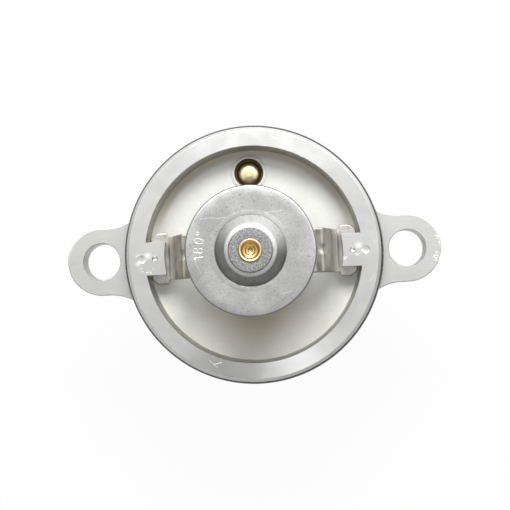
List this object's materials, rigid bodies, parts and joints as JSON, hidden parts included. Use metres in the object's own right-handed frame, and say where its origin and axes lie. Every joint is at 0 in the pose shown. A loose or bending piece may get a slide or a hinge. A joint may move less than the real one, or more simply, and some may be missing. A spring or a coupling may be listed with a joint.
{
  "type": "engine coolant outlet cover with built-in temperature valve",
  "caption": "Cast two-bolt coolant outlet cover with built-in wax valve, bypass disc, spring bridge, bleed pin and hose neck.",
  "frame": {"origin": "middle of the two bolt holes, on the cover's mounting face", "axes": "+X from one bolt hole to the other, +Y towards the bleed pin, +Z along the centre line towards the engine, away from the hose neck"},
  "size_m": [0.0882, 0.0604, 0.0832],
  "materials": {
    "cast_aluminium": "die cast, with a turned face",
    "seal_rubber": "moulded, matte",
    "stainless_sheet": "pressed and tumbled",
    "spring_steel": "drawn wire",
    "plated_steel": "grey zinc plating",
    "ground_steel": "ground",
    "brass": "turned",
    "wax": "waxy",
    "white_plastic": "smooth"
  },
  "bodies": {
    "cover": {"housing": "cast_aluminium", "flange_seal": "seal_rubber", "bridge_strap": "stainless_sheet", "main_spring": "spring_steel", "piston": "ground_steel", "rubber_plug": "seal_rubber", "anti_extrusion_washer": "white_plastic"},
    "valve": {"main_valve": "stainless_sheet", "valve_seal": "seal_rubber", "valve_retainer": "plated_steel", "element_cup": "brass", "element_guide": "brass", "wax_charge": "wax", "diaphragm": "seal_rubber", "bypass_stem": "brass", "bypass_washer": "plated_steel", "bypass_spring": "spring_steel"},
    "bypass": {"bypass_valve": "stainless_sheet"},
    "jiggle": {"jiggle_pin": "brass", "jiggle_collar": "brass"}
  },
  "joints": [
    {"name": "valve_lift", "type": "slide", "parent": "cover", "child": "valve", "axis": [0, 0, 1], "range_m": [0, 0.007], "stiffness_N_per_m": 3300, "springref_m": -0.006, "deforming": ["main_spring"]},
    {"name": "bypass_slide", "type": "slide", "parent": "valve", "child": "bypass", "axis": [0, 0, 1], "range_m": [-0.003, 0], "stiffness_N_per_m": 2900, "springref_m": 0.003, "deforming": ["bypass_spring"]},
    {"name": "jiggle_slide", "type": "slide", "parent": "cover", "child": "jiggle", "axis": [0, 0, 1], "range_m": [0, 0.001]}
  ]
}
